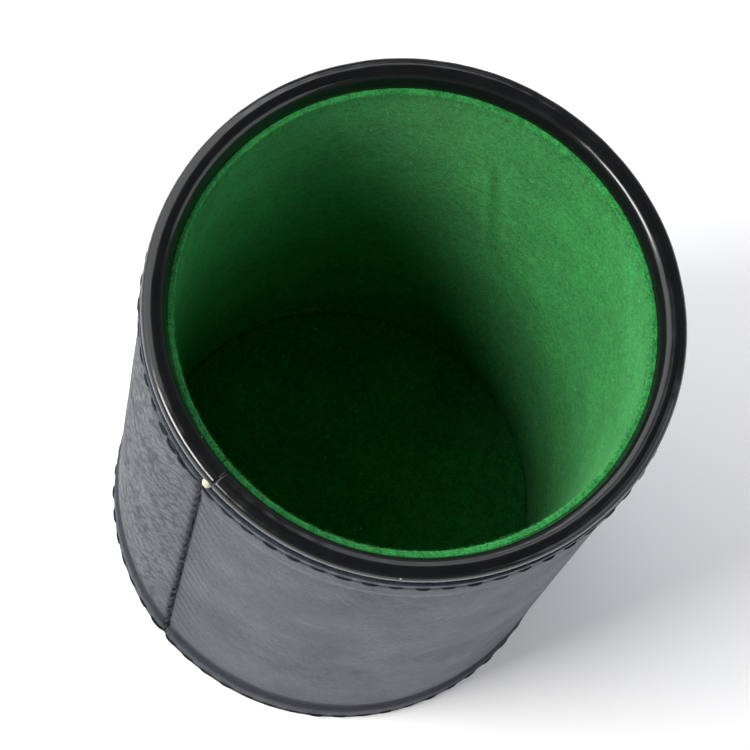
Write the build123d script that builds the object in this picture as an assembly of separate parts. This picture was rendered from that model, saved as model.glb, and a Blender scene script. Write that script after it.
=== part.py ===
"""Stitched leather dice cup with a glossy rim trim and a felt lining.

Frame: the cup stands on the XY plane, +Z is up and the origin is the centre of
the foot. The side seam of the leather faces -Y. All sizes are in millimetres.

A rigid, slightly tapered tube is closed by a board at the foot. A felt-covered
card sleeve and a felt-covered disc line it, leather is wrapped round it, and a
channel-shaped trim is pressed over its upper edge.
"""
from build123d import *
import math
import os

# Whole cup
cup_height = 99.0
rim_diameter = 80.0
foot_diameter = 72.8

# Rigid core
tube_wall = 1.6
base_board_thickness = 2.0

# Lining
lining_card_thickness = 1.0
lining_felt_thickness = 1.0
floor_card_thickness = 1.0
floor_felt_thickness = 1.0
felt_edge_bevel = 0.4
card_joint_gap = 0.4
felt_joint_gap = 0.2

# Rim trim, a channel that stands on the tube's upper edge
trim_crown = 1.2
trim_outer_leg = 1.2
trim_outer_depth = 2.3
trim_inner_leg = 1.25
trim_inner_depth = 2.9
trim_shoulder_leg = 0.3
trim_shoulder_drop = 0.5
trim_flank_drop = 0.55
trim_flank_inset = 0.55
trim_widest_drop = 1.45
trim_hem_inset = 0.35
trim_joint_gap = 0.12
trim_joint_offset = 2.1

# Piping between the trim and the leather
piping_gap = 0.15
piping_bead_thickness = 0.8
piping_bead_height = 1.25
piping_bead_round = 0.6
piping_tail_thickness = 0.35
piping_tail_height = 6.1
piping_joint_gap = 0.2

# Leather
leather_thickness = 0.8
leather_edge_round = 0.35
hem_blend_height = 2.6
foot_lip_thickness = 0.3
foot_lip_height = 4.4
foot_edge_lift = 0.2
foot_bevel = 0.4
waist_depth = 0.18
waist_height = 1.6
waist_blend_height = 3.6
seam_gap = 0.3
seam_channel_width = 0.95
seam_channel_floor = 0.5

# Stitching
thread_thickness = 0.42
thread_width = 0.46
stitch_length = 2.4
stitch_pitch = 3.85
stitch_end_slope = 0.45
needle_line_depth = 0.2
needle_line_width = 0.7
top_line_below_hem = 2.0
foot_line_height = 1.35
side_stitch_slant = 10.0
side_stitch_margin = 3.0
tack_count = 3
tack_row_drop = 0.95
tack_first_offset = 4.2

# Set glue at the upper end of the side seam
glue_bead_radius = 0.8
glue_bead_offset = 1.2

# Fits
glue_line = 0.05

SEAM_AZIMUTH = -90.0
REACH = 3.0

# Heights and radii that follow from the sizes above
tube_foot = leather_thickness
tube_top = cup_height - trim_crown
tube_top_radius = rim_diameter / 2 - trim_outer_leg
tube_foot_radius = foot_diameter / 2 - leather_thickness - foot_lip_thickness - 2 * glue_line
taper = (tube_top_radius - tube_foot_radius) / (tube_top - tube_foot)
board_top = tube_foot + base_board_thickness
floor_card_top = board_top + floor_card_thickness
floor_top = floor_card_top + floor_felt_thickness
trim_inner_foot = cup_height - trim_inner_depth
trim_outer_foot = cup_height - trim_outer_depth
piping_top = trim_outer_foot - piping_gap
piping_bead_foot = piping_top - piping_bead_height
piping_tail_foot = piping_bead_foot - piping_tail_height
hem_top = piping_bead_foot - glue_line
top_line = hem_top - top_line_below_hem


def tube_radius(height):
    """Outer radius of the tapered tube at a height."""
    return tube_foot_radius + taper * (height - tube_foot)


def bore_radius(height):
    """Inner radius of the tapered tube at a height."""
    return tube_radius(height) - tube_wall


def corner(radius, height):
    """Point of an outline that is turned about the cup's axis."""
    return Vector(radius, 0, height)


def along_wall(offset, *heights):
    """Points that follow the tube's taper at a distance outside it."""
    return [corner(tube_radius(height) + offset, height) for height in heights]


def rounded_shoulder(offset, top, radius):
    """Points of a quarter round, in two flats, where an outer face meets its top."""
    centre = along_wall(offset - radius, top - radius)[0]
    turns = [math.radians(angle) for angle in (0, 45, 90)]
    return [centre + corner(radius * math.cos(turn), radius * math.sin(turn)) for turn in turns]


def turned(*corners):
    """Solid of revolution of a straight-sided outline."""
    return revolve(make_face(Polyline(*corners, close=True)), Axis.Z)


def sleeve(inner_offset, outer_offset, low, high):
    """Tapered ring between two distances from the tube's outer face."""
    outside = along_wall(outer_offset, low, high)
    inside = along_wall(inner_offset, high, low)
    return turned(*outside, *inside)


def disc(edge_offset, low, high):
    """Solid disc whose edge follows the tube's taper."""
    edge = along_wall(edge_offset, low, high)
    return turned(corner(0, low), *edge, corner(0, high))


def joint_cut(gap, offset=0.0):
    """Thin radial blade that parts a ring, a distance along the rim from the seam."""
    angle = SEAM_AZIMUTH + math.degrees(offset / tube_top_radius)
    blade = Box(rim_diameter, gap, 3 * cup_height, align=(Align.MIN, Align.CENTER, Align.CENTER))
    return Rot(0, 0, angle) * blade


def wall_plane(azimuth, height, offset):
    """Plane that lies on the tapered wall: X runs round it, Y up it and Z out of it."""
    radius = tube_radius(height) + offset
    turn = math.radians(azimuth)
    origin = (radius * math.cos(turn), radius * math.sin(turn), height)
    around = (-math.sin(turn), math.cos(turn), 0)
    outward = (math.cos(turn), math.sin(turn), -taper)
    return Plane(origin=origin, x_dir=around, z_dir=outward)


def make_tube():
    """Rigid tapered tube that gives the cup its shape."""
    return sleeve(-tube_wall, 0, tube_foot, tube_top)


def make_base_board():
    """Board that closes the foot of the tube."""
    return disc(-tube_wall - glue_line, tube_foot, board_top)


def make_lining_card():
    """Card sleeve that carries the felt, its joint opposite the side seam."""
    outer = -tube_wall - glue_line
    body = sleeve(outer - lining_card_thickness, outer, board_top, trim_inner_foot)
    return body - Rot(0, 0, 180) * joint_cut(card_joint_gap)


def make_lining_felt():
    """Felt sleeve with a bevelled upper edge and a butt joint at the side seam."""
    outer = -tube_wall - 2 * glue_line - lining_card_thickness
    inner = outer - lining_felt_thickness
    body = turned(
        *along_wall(outer, board_top, trim_inner_foot),
        *along_wall(inner + felt_edge_bevel, trim_inner_foot),
        *along_wall(inner, trim_inner_foot - felt_edge_bevel, board_top),
    )
    return body - joint_cut(felt_joint_gap)


def lining_edge_offset():
    """Distance from the tube's outer face to the felt's inner face, with a glue line."""
    lining = lining_card_thickness + lining_felt_thickness
    return -tube_wall - lining - 3 * glue_line


def make_floor_card():
    """Card disc under the felt of the floor."""
    return disc(lining_edge_offset(), board_top, floor_card_top)


def make_floor_felt():
    """Felt disc that the dice land on."""
    return disc(lining_edge_offset(), floor_card_top, floor_top)


def make_rim_trim():
    """Glossy channel trim: sloped inner face, shoulder, domed crown and round flank."""
    rim_radius = rim_diameter / 2
    inner_foot = corner(bore_radius(trim_inner_foot) - trim_inner_leg, trim_inner_foot)
    shoulder = corner(bore_radius(tube_top) - trim_shoulder_leg, cup_height - trim_shoulder_drop)
    flank = corner(rim_radius - trim_flank_inset, cup_height - trim_flank_drop)
    crown = corner((shoulder.X + flank.X) / 2, cup_height)
    widest = corner(rim_radius, cup_height - trim_widest_drop)
    outer_foot = corner(rim_radius - trim_hem_inset, trim_outer_foot)
    channel_outer = along_wall(glue_line, trim_outer_foot, tube_top)
    channel_inner = along_wall(-tube_wall - glue_line, tube_top, trim_inner_foot)
    edges = [
        Line(inner_foot, shoulder),
        ThreePointArc(shoulder, crown, flank),
        ThreePointArc(flank, widest, outer_foot),
        Polyline(outer_foot, *channel_outer, *channel_inner, inner_foot),
    ]
    ring = revolve(make_face(edges), Axis.Z)
    return ring - joint_cut(trim_joint_gap, trim_joint_offset)


def make_edge_piping():
    """Folded leather piping: a rounded bead over a thin tail under the wrap."""
    bead_outer = glue_line + piping_bead_thickness
    tail_outer = glue_line + piping_tail_thickness
    body = turned(
        *along_wall(tail_outer, piping_tail_foot, piping_bead_foot),
        *along_wall(bead_outer, piping_bead_foot),
        *rounded_shoulder(bead_outer, piping_top, piping_bead_round),
        *along_wall(glue_line, piping_top, piping_tail_foot),
    )
    return body - joint_cut(piping_joint_gap)


def needle_line(height, offset):
    """Points of the shallow line that the stitches pull into the leather, bottom to top."""
    low = height - needle_line_width / 2
    high = height + needle_line_width / 2
    floor = offset - needle_line_depth
    return [
        *along_wall(offset, low),
        *along_wall(floor, low, high),
        *along_wall(offset, high),
    ]


def foot_offset():
    """Distance from the tube to the leather's face over the turned-up lip."""
    return 2 * glue_line + foot_lip_thickness + leather_thickness


def hem_offset():
    """Distance from the tube to the leather's face over the piping's tail."""
    return 2 * glue_line + piping_tail_thickness + leather_thickness


def make_leather_wrap():
    """Leather wall: foot bulge, waist, plain cone and hem, parted at the side seam."""
    plain = glue_line + leather_thickness
    lip_top = tube_foot + foot_lip_height
    waist = lip_top + waist_height
    waist_end = waist + waist_blend_height
    hem_foot = piping_tail_foot - hem_blend_height
    face = [
        *along_wall(foot_offset() - leather_edge_round, foot_edge_lift),
        *along_wall(foot_offset(), foot_edge_lift + leather_edge_round),
        *needle_line(foot_line_height, foot_offset()),
        *along_wall(foot_offset(), lip_top - leather_edge_round),
        *along_wall(plain - waist_depth, waist),
        *along_wall(plain, waist_end, hem_foot),
        *along_wall(hem_offset(), piping_tail_foot + leather_edge_round),
        *needle_line(top_line, hem_offset()),
        *along_wall(hem_offset(), hem_top - leather_edge_round),
        *along_wall(hem_offset() - leather_edge_round, hem_top),
    ]
    hem_back = 2 * glue_line + piping_tail_thickness
    foot_back = 2 * glue_line + foot_lip_thickness
    back = [
        *along_wall(hem_back, hem_top, piping_tail_foot - glue_line),
        *along_wall(glue_line, piping_tail_foot - leather_thickness, lip_top + leather_thickness),
        *along_wall(foot_back, lip_top + glue_line, foot_edge_lift),
    ]
    seam = seam_channel() + joint_cut(seam_gap)
    return turned(*face, *back) - seam


def seam_channel():
    """Flat-bottomed valley along the side seam, in which the side stitches lie."""
    middle = wall_plane(SEAM_AZIMUTH, cup_height / 2, glue_line + seam_channel_floor)
    from_floor_out = (Align.CENTER, Align.CENTER, Align.MIN)
    return middle * Box(seam_channel_width, 2 * cup_height, REACH, align=from_floor_out)


def make_base_leather():
    """Leather underside: a disc whose edge is turned up round the tube."""
    lip_inner = glue_line
    lip_outer = glue_line + foot_lip_thickness
    lip_top = tube_foot + foot_lip_height
    disc_top = tube_foot - glue_line
    return turned(
        corner(0, 0),
        *along_wall(lip_outer - foot_bevel, 0),
        *along_wall(lip_outer, foot_bevel, lip_top),
        *along_wall(lip_inner, lip_top, disc_top),
        corner(0, disc_top),
    )


def stitch():
    """One visible stitch along X, flat underneath, its ends sloping into the leather."""
    half_width = thread_width / 2
    top_half_width = thread_width / 4
    shoulder = thread_thickness / 2
    section = make_face(
        Polyline(
            (0, -top_half_width, 0),
            (0, -half_width, shoulder),
            (0, -top_half_width, thread_thickness),
            (0, top_half_width, thread_thickness),
            (0, half_width, shoulder),
            (0, top_half_width, 0),
            close=True,
        )
    )
    half_length = stitch_length / 2
    side = make_face(
        Polyline(
            (-half_length, 0, 0),
            (-half_length + stitch_end_slope, 0, thread_thickness),
            (half_length - stitch_end_slope, 0, thread_thickness),
            (half_length, 0, 0),
            close=True,
        )
    )
    bar = extrude(section, amount=half_length, dir=(1, 0, 0), both=True)
    wedge = extrude(side, amount=thread_width, dir=(0, 1, 0), both=True)
    return (bar & wedge).solid()


def stitch_at(azimuth, height, offset, turn=0.0):
    """A stitch laid on the wall, turned about the wall's own normal."""
    return wall_plane(azimuth, height, offset) * Rot(0, 0, turn) * stitch()


def ring_of_stitches(height, offset):
    """Stitches evenly spaced round the cup, none of them across the side seam."""
    around = 2 * math.pi * (tube_radius(height) + offset)
    count = round(around / stitch_pitch)
    step = 360 / count
    first = SEAM_AZIMUTH + step / 2
    return [stitch_at(first + index * step, height, offset) for index in range(count)]


def make_top_stitches():
    """Running stitches that hold the hem to the piping's tail."""
    return ring_of_stitches(top_line, hem_offset() - needle_line_depth)


def make_foot_stitches():
    """Running stitches that hold the wrap to the turned-up underside."""
    return ring_of_stitches(foot_line_height, foot_offset() - needle_line_depth)


def make_side_stitches():
    """Slanted stitches that lace the two edges of the side seam together."""
    floor = glue_line + seam_channel_floor
    low = foot_line_height + side_stitch_margin
    high = top_line - side_stitch_margin
    count = round((high - low) / stitch_pitch)
    step = (high - low) / count
    turn = 90 - side_stitch_slant
    return [
        stitch_at(SEAM_AZIMUTH, low + index * step, floor, turn)
        for index in range(count + 1)
    ]


def make_back_tack():
    """Extra stitches beside the seam, where the top stitching starts and ends."""
    radius = tube_radius(top_line) + hem_offset()
    height = top_line - tack_row_drop
    tacks = []
    for index in range(tack_count):
        distance = tack_first_offset + index * (stitch_length + thread_width)
        azimuth = SEAM_AZIMUTH - math.degrees(distance / radius)
        tacks.append(stitch_at(azimuth, height, hem_offset()))
    return tacks


def make_glue_bead(*neighbours):
    """Drop of set glue at the seam's upper end, seated on the pieces around it."""
    azimuth = SEAM_AZIMUTH + math.degrees(glue_bead_offset / tube_top_radius)
    outer_edge = rim_diameter / 2 - trim_hem_inset
    offset = outer_edge - tube_radius(trim_outer_foot)
    poles_along_wall = Rot(90, 0, 0)
    drop = wall_plane(azimuth, trim_outer_foot, offset) * poles_along_wall * Sphere(glue_bead_radius)
    for neighbour in neighbours:
        drop = drop - neighbour
    return drop.solids().sort_by(SortBy.VOLUME)[-1]


def main():
    """Build every piece and write one STEP file for each."""
    rim_trim = make_rim_trim()
    edge_piping = make_edge_piping()
    leather_wrap = make_leather_wrap()
    pieces = {
        "tube": make_tube(),
        "base_board": make_base_board(),
        "lining_card": make_lining_card(),
        "lining_felt": make_lining_felt(),
        "floor_card": make_floor_card(),
        "floor_felt": make_floor_felt(),
        "rim_trim": rim_trim,
        "edge_piping": edge_piping,
        "leather_wrap": leather_wrap,
        "base_leather": make_base_leather(),
        "top_stitches": Compound(make_top_stitches()),
        "side_stitches": Compound(make_side_stitches()),
        "foot_stitches": Compound(make_foot_stitches()),
        "back_tack": Compound(make_back_tack()),
        "glue_bead": make_glue_bead(rim_trim, edge_piping, leather_wrap),
    }
    os.makedirs("parts", exist_ok=True)
    for name, shape in pieces.items():
        export_step(shape, f"parts/{name}.step")
        print(name, len(shape.solids()), round(shape.volume, 2))


main()
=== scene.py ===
"""Leather dice cup: the visible skins, threads and fibres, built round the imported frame.

The rigid tube, the boards and the card stay as the frame gives them. Everything that
shows is made here at its real size: the glossy rim trim, the leather piping, the
leather wall with its laced side seam, the turned-up underside, the black stitches,
the green felt with its pile, and the drop of set glue at the seam's upper end.

Metres throughout. The cup stands on the XY plane, +Z is up, the side seam faces -Y.
"""
import logging
import math
import random
from dataclasses import dataclass, field
from enum import Enum
from functools import lru_cache
from typing import Callable, Sequence

import bmesh
import bpy
from mathutils import Matrix, Vector, noise


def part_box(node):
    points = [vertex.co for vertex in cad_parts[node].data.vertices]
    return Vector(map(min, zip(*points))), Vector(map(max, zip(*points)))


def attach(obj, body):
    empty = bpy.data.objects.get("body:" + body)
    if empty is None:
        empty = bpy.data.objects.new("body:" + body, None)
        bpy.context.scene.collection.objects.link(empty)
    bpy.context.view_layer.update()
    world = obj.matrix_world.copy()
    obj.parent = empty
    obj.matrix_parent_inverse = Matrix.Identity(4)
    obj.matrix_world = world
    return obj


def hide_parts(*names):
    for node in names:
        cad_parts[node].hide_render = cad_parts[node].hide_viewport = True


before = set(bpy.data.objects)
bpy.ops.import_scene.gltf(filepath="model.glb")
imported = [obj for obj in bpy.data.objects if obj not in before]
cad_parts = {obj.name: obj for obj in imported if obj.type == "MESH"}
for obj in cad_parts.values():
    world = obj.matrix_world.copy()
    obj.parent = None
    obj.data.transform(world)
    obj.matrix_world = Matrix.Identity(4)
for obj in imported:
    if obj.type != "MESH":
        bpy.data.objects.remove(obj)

MM = 0.001
SEAM_AZIMUTH = math.radians(-90.0)
BODY = "root"
STITCH_PITCH = 3.85 * MM
WELD = 1e-6
UP = Vector((0.0, 0.0, 1.0))

log = logging.getLogger("dice_cup")


# ---------------- small helpers


def clamp(value: float, low: float = 0.0, high: float = 1.0) -> float:
    """Hold a value between two limits."""
    return max(low, min(high, value))


def smoothstep(low: float, high: float, value: float) -> float:
    """Blend from 0 at low to 1 at high with level ends."""
    share = clamp((value - low) / (high - low))
    return share * share * (3.0 - 2.0 * share)


def bell(distance: float, width: float) -> float:
    """Bell curve of height 1 that falls away over about one width."""
    return math.exp(-((distance / width) ** 2))


def polar(radius: float, azimuth: float, height: float) -> Vector:
    """Point at a radius, an azimuth from +X and a height."""
    return Vector((radius * math.cos(azimuth), radius * math.sin(azimuth), height))


def at(radius: float, height: float) -> Vector:
    """Point of an outline, in the XZ plane."""
    return Vector((radius, 0.0, height))


def outwards(point: Vector) -> Vector:
    """Level direction from the cup's axis to a point."""
    return Vector((point.x, point.y, 0.0)).normalized()


def ripple(*place: float) -> float:
    """Smooth random value between about -1 and 1 at a place in a pattern."""
    return noise.noise(Vector(place))


def facing(azimuth: float, elevation: float) -> Vector:
    """Unit direction at an azimuth from +X and an elevation, both in degrees."""
    turn, rise = math.radians(azimuth), math.radians(elevation)
    return Vector((
        math.cos(turn) * math.cos(rise), math.sin(turn) * math.cos(rise), math.sin(rise)
    ))


def linear(hex_code: str) -> tuple[float, float, float, float]:
    """Turn an sRGB hex colour into the linear RGBA that shaders take.

    Args:
        hex_code: Six hex digits after a hash.

    Returns:
        Linear red, green, blue and an alpha of 1.
    """
    values = [int(hex_code[index:index + 2], 16) / 255.0 for index in (1, 3, 5)]
    curve = [v / 12.92 if v <= 0.04045 else ((v + 0.055) / 1.055) ** 2.4 for v in values]
    return (curve[0], curve[1], curve[2], 1.0)


def per_mm(size_mm: float) -> float:
    """Texture scale at which one feature of the pattern is this many millimetres."""
    return 1.0 / (size_mm * MM)


def plug(tree: bpy.types.NodeTree, node: bpy.types.Node, inputs: dict) -> None:
    """Set or link sockets of a node.

    Args:
        tree: Node tree that holds the node.
        node: Node whose sockets are set.
        inputs: Socket name or index, with a value or the output socket to link.
    """
    for name, value in inputs.items():
        if isinstance(value, bpy.types.NodeSocket):
            tree.links.new(value, node.inputs[name])
        else:
            node.inputs[name].default_value = value


def add_node(
    tree: bpy.types.NodeTree,
    kind: str,
    settings: dict | None = None,
    inputs: dict | None = None,
) -> bpy.types.Node:
    """Add a shader node with its settings, socket values and links.

    Args:
        tree: Node tree that takes the node.
        kind: Node type without its ShaderNode prefix.
        settings: Attributes to set on the node.
        inputs: Its sockets, as plug takes them.

    Returns:
        The new node.
    """
    node = tree.nodes.new("ShaderNode" + kind)
    for name, value in (settings or {}).items():
        setattr(node, name, value)
    plug(tree, node, inputs or {})
    return node


def arc(centre: Vector, radius: float, start: float, end: float, count: int) -> list[Vector]:
    """Points of an arc in the XZ plane.

    Args:
        centre: Centre of the arc.
        radius: Its radius.
        start: First angle in degrees, from +X towards +Z.
        end: Last angle in degrees.
        count: Number of points, both ends included.

    Returns:
        The points in order.
    """
    angles = [math.radians(start + (end - start) * i / (count - 1)) for i in range(count)]
    return [centre + radius * Vector((math.cos(a), 0.0, math.sin(a))) for a in angles]


def bend(first: Vector, corner: Vector, last: Vector, count: int) -> list[Vector]:
    """Points of a smooth bend that rounds off a corner.

    Args:
        first: Point where the bend starts.
        corner: Corner that the bend leaves and meets in line with.
        last: Point where the bend ends.
        count: Number of steps; the last point itself is left out.

    Returns:
        The points in order.
    """
    shares = [index / count for index in range(count)]
    return [(1 - t) ** 2 * first + 2 * t * (1 - t) * corner + t * t * last for t in shares]


def straight(first: Vector, last: Vector, count: int) -> list[Vector]:
    """Evenly spaced points from first up to, but not including, last."""
    return [first.lerp(last, index / count) for index in range(count)]


def lathe(outline: Sequence[Vector], steps: int, gap: float = 0.0) -> bmesh.types.BMesh:
    """Spin a closed outline about the Z axis, from the side seam round to it again.

    Args:
        outline: Points in the XZ plane, in order, joined last to first.
        steps: Number of steps round the cup.
        gap: Angle in radians left open at the seam; 0 closes the ring.

    Returns:
        The closed mesh, turned so that its gap is centred on the seam.
    """
    bm = bmesh.new()
    verts = [bm.verts.new(point) for point in outline]
    edges = [bm.edges.new((a, b)) for a, b in zip(verts, verts[1:] + verts[:1])]
    bmesh.ops.spin(
        bm,
        geom=verts + edges,
        cent=(0.0, 0.0, 0.0),
        axis=UP,
        angle=math.tau - gap,
        steps=steps,
        use_merge=gap == 0.0,
        use_duplicate=False,
    )
    if gap:
        open_edges = [edge for edge in bm.edges if edge.is_boundary]
        bmesh.ops.holes_fill(bm, edges=open_edges, sides=0)
    turn = Matrix.Rotation(SEAM_AZIMUTH + gap / 2.0, 3, "Z")
    bmesh.ops.rotate(bm, cent=(0.0, 0.0, 0.0), matrix=turn, verts=bm.verts)
    bmesh.ops.recalc_face_normals(bm, faces=bm.faces)
    return bm


def round_from_seam(point: Vector) -> float:
    """Angle of a point round the cup, from 0 at the seam to a full turn."""
    return (math.atan2(point.y, point.x) - SEAM_AZIMUTH) % math.tau


def reshape(bm: bmesh.types.BMesh, move: Callable[[Vector, float], Vector]) -> None:
    """Move every vertex.

    Args:
        bm: Mesh to change.
        move: Takes a point and its angle from the seam, and returns the new point.
    """
    for vert in bm.verts:
        vert.co = move(vert.co.copy(), round_from_seam(vert.co))
    bm.normal_update()


def make_piece(
    name: str,
    bm: bmesh.types.BMesh,
    material: bpy.types.Material,
    replaced: Sequence[str] = (),
) -> bpy.types.Object:
    """Turn a finished mesh into a piece that rides on the cup.

    Args:
        name: Name of the piece.
        bm: Its mesh, which is freed.
        material: Its finish.
        replaced: Frame nodes that the piece stands for.

    Returns:
        The new object, at the origin.
    """
    mesh = bpy.data.meshes.new(name)
    bm.to_mesh(mesh)
    bm.free()
    mesh.polygons.foreach_set("use_smooth", [True] * len(mesh.polygons))
    mesh.materials.append(material)
    piece = bpy.data.objects.new(name, mesh)
    bpy.context.scene.collection.objects.link(piece)
    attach(piece, BODY)
    if replaced:
        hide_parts(*replaced)
    log.info("%s: %d faces", name, len(mesh.polygons))
    return piece


def dress_node(node: str, material: bpy.types.Material) -> None:
    """Give a frame node that keeps its shape its finish."""
    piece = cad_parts[node]
    piece.data.materials.clear()
    piece.data.materials.append(material)
    log.info("%s: kept from the frame", node)


def close_poles(bm: bmesh.types.BMesh) -> None:
    """Weld the points that a spin leaves on the axis, and face everything outwards."""
    bmesh.ops.remove_doubles(bm, verts=bm.verts, dist=WELD)
    bmesh.ops.recalc_face_normals(bm, faces=bm.faces)


def merged_copy(node: str) -> bmesh.types.BMesh:
    """Copy a frame node's mesh with its loose triangles joined up."""
    bm = bmesh.new()
    bm.from_mesh(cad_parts[node].data)
    bmesh.ops.remove_doubles(bm, verts=bm.verts, dist=WELD / 10.0)
    return bm


# ---------------- sizes from the frame


@dataclass(frozen=True)
class Ring:
    """Inner and outer radius of a turned node at one height."""

    height: float
    inner: float
    outer: float


@lru_cache(maxsize=None)
def ring_at(node: str, height: float, slack: float = 0.02 * MM) -> Ring:
    """Measure a turned node at a height where it has vertices.

    Args:
        node: Name of the frame node.
        height: Height to look at.
        slack: How far a vertex may be from that height.

    Returns:
        The smallest and largest radius found there.
    """
    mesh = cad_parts[node].data
    radii = [v.co.xy.length for v in mesh.vertices if abs(v.co.z - height) < slack]
    return Ring(height, min(radii), max(radii))


@lru_cache(maxsize=None)
def box_of(node: str) -> tuple[Vector, Vector]:
    """Lowest and highest corner of a frame node, measured once."""
    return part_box(node)


def end_rings(node: str) -> tuple[Ring, Ring]:
    """Measure a turned node at its foot and at its top."""
    low, high = box_of(node)
    return ring_at(node, low.z), ring_at(node, high.z)


@dataclass(frozen=True)
class Taper:
    """The straight taper of the rigid tube, which every skin follows."""

    foot: Ring
    top: Ring

    @property
    def slope(self) -> float:
        """Growth of the radius for each metre of height."""
        return (self.top.outer - self.foot.outer) / (self.top.height - self.foot.height)

    def radius(self, height: float) -> float:
        """Outer radius of the tube at a height."""
        return self.foot.outer + self.slope * (height - self.foot.height)

    def outside(self, offset: float, height: float) -> Vector:
        """Point of an outline at a distance outside the tube."""
        return Vector((self.radius(height) + offset, 0.0, height))


def stitch_frames(node: str) -> list[tuple[Vector, Vector]]:
    """Find the middle and the direction of each stitch of a frame node.

    Args:
        node: Name of a node made of separate stitches.

    Returns:
        A middle and a unit direction for each stitch, in order round the cup.
    """
    bm = merged_copy(node)
    seen = set()
    found = []
    for start in bm.verts:
        if start in seen:
            continue
        seen.add(start)
        stack = [start]
        island = []
        while stack:
            vert = stack.pop()
            island.append(vert.co.copy())
            for edge in vert.link_edges:
                other = edge.other_vert(vert)
                if other not in seen:
                    seen.add(other)
                    stack.append(other)
        middle = sum(island, Vector()) / len(island)
        far = max(island, key=lambda point: (point - middle).length)
        other = max(island, key=lambda point: (point - far).length)
        found.append((middle, (other - far).normalized()))
    bm.free()
    return sorted(found, key=lambda pair: (round(round_from_seam(pair[0]), 3), pair[0].z))


# ---------------- finishes


def new_material(
    name: str,
) -> tuple[bpy.types.Material, bpy.types.NodeTree, bpy.types.Node, bpy.types.NodeSocket]:
    """Start a material.

    Args:
        name: Name of the material.

    Returns:
        The material, its node tree, its principled shader and the object coordinates.
    """
    material = bpy.data.materials.new(name)
    material.use_nodes = True
    tree = material.node_tree
    shader = next(node for node in tree.nodes if node.type == "BSDF_PRINCIPLED")
    return material, tree, shader, add_node(tree, "TexCoord").outputs["Object"]


def coat(
    tree: bpy.types.NodeTree,
    shader: bpy.types.Node,
    blend: bpy.types.NodeSocket,
    hexes: tuple[str, str],
    sockets: dict,
    relief: tuple[bpy.types.NodeSocket, float, float] | None = None,
) -> None:
    """Colour a shader between two tones, set its sockets and raise its relief.

    Args:
        tree: Node tree of the material.
        shader: Its principled shader.
        blend: Socket that runs from the first tone to the second.
        hexes: The two tones.
        sockets: Other sockets, as plug takes them.
        relief: Socket of the heights, strength of the bump and its depth in millimetres.
    """
    tone = add_node(tree, "Mix", {"data_type": "RGBA"}, {
        0: blend, 6: linear(hexes[0]), 7: linear(hexes[1]),
    })
    plug(tree, shader, {"Base Color": tone.outputs[2], **sockets})
    if relief:
        bump = add_node(tree, "Bump", None, {
            "Height": relief[0], "Strength": relief[1], "Distance": relief[2] * MM,
        })
        plug(tree, shader, {"Normal": bump.outputs[0]})


@dataclass(frozen=True)
class PressedBoard:
    """Uncoated pressed board or card: dull, with fine flecks of fibre."""

    name: str
    light_hex: str
    dark_hex: str
    fleck_mm: float = 0.6
    bump: float = 0.4
    bump_mm: float = 0.05
    roughness: float = 0.9

    def material(self) -> bpy.types.Material:
        """Build the board: two tones of fibre fleck over a faint bump."""
        material, tree, shader, place = new_material(self.name)
        fleck = add_node(tree, "TexNoise", None, {
            "Vector": place, "Scale": per_mm(self.fleck_mm), "Detail": 4.0,
        })
        relief = (fleck.outputs[0], self.bump, self.bump_mm)
        tones = (self.dark_hex, self.light_hex)
        coat(tree, shader, fleck.outputs[0], tones, {"Roughness": self.roughness}, relief)
        return material


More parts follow.
